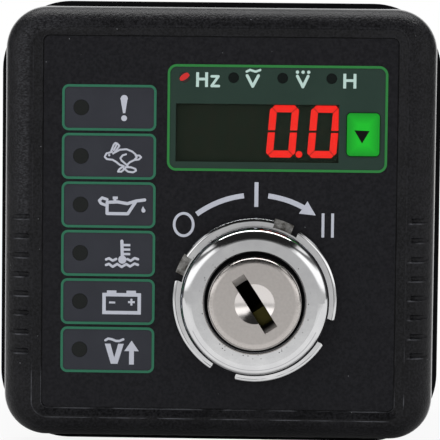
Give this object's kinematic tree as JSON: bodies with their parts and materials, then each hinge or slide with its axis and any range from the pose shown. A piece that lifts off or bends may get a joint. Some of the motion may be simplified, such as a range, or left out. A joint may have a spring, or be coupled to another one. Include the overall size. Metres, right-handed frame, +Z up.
{
  "type": "genset controller",
  "caption": "Square panel-mount controller for a generating set: black bezel, printed overlay with a column of warning lamps, red digit display, green select button and a chromed key switch.",
  "frame": {"origin": "middle of the square panel cut-out, on the plane where the gasket meets the panel's front", "axes": "+X to the right seen from the front, +Z up, the front faces -Y and the housing runs back along +Y through the panel"},
  "size_m": [0.08, 0.0645, 0.08],
  "materials": {
    "bezel_plastic": "fine moulded grain, black",
    "housing_plastic": "plain moulded, black",
    "gasket_rubber": "matt black rubber",
    "overlay_film": "printed polyester film, fine velvet grain",
    "filter_acrylic": "smoked clear acrylic",
    "button_green": "satin green",
    "display_black": "matt black face",
    "segment_lit": "glowing red",
    "segment_unlit": "dark diffused resin",
    "lamp_smoked": "dark diffused lens",
    "lamp_lit": "glowing red",
    "spacer_nylon": "natural nylon",
    "circuit_board": "green solder mask",
    "black_part": "moulded black",
    "tinned_pin": "tinned",
    "contact_brass": "plain brass",
    "relay_blue": "blue moulded cover",
    "capacitor_sleeve": "shrink sleeve",
    "terminal_green": "green polyamide",
    "screw_steel": "zinc plated",
    "nut_chrome": "polished chrome plate",
    "barrel_zinc": "plain die-cast zinc",
    "plug_steel": "satin, turned",
    "phenolic_brown": "moulded phenolic"
  },
  "bodies": {
    "case": {"front_bezel": "bezel_plastic", "panel_gasket": "gasket_rubber", "rear_housing": "housing_plastic", "case_screws": "screw_steel", "graphic_overlay": "overlay_film", "display_filter": "filter_acrylic", "tact_switch_body": "black_part", "display_board": "circuit_board", "display_board_screws": "screw_steel", "display_module": "display_black", "display_segments_lit": "segment_lit", "display_segments_unlit": "segment_unlit", "display_pins": "tinned_pin", "warning_leds": "lamp_smoked", "mode_leds": "lamp_smoked", "mode_led_lit": "lamp_lit", "led_spacers": "spacer_nylon", "microcontroller": "black_part", "board_link_pins": "contact_brass", "board_link_strips": "black_part", "power_board": "circuit_board", "power_board_screws": "screw_steel", "fuel_relay": "relay_blue", "crank_relay": "relay_blue", "supply_capacitor": "capacitor_sleeve", "filter_capacitor": "capacitor_sleeve", "terminal_header": "terminal_green", "terminal_pins": "tinned_pin", "terminal_plug": "terminal_green", "terminal_screws": "screw_steel", "lock_ring_nut": "nut_chrome", "lock_washer": "barrel_zinc", "lock_barrel": "barrel_zinc", "plug_seal": "gasket_rubber", "return_spring": "screw_steel", "contact_base": "phenolic_brown", "switch_terminals": "contact_brass"},
    "key_rotor": {"lock_plug": "plug_steel", "wafer_tumblers": "contact_brass", "retaining_clip": "screw_steel", "contact_rotor": "black_part", "contact_bridge": "contact_brass"},
    "button": {"select_button": "button_green", "tact_plunger": "black_part"}
  },
  "joints": [
    {"name": "key_turn", "type": "hinge", "parent": "case", "child": "key_rotor", "pos_m": [0.0065, 0, -0.0134], "axis": [0, 1, 0], "range_deg": [0, 66]},
    {"name": "button_press", "type": "slide", "parent": "case", "child": "button", "axis": [0, 1, 0], "range_m": [0, 0.0003], "stiffness_N_per_m": 2000, "springref_m": -0.0002}
  ]
}
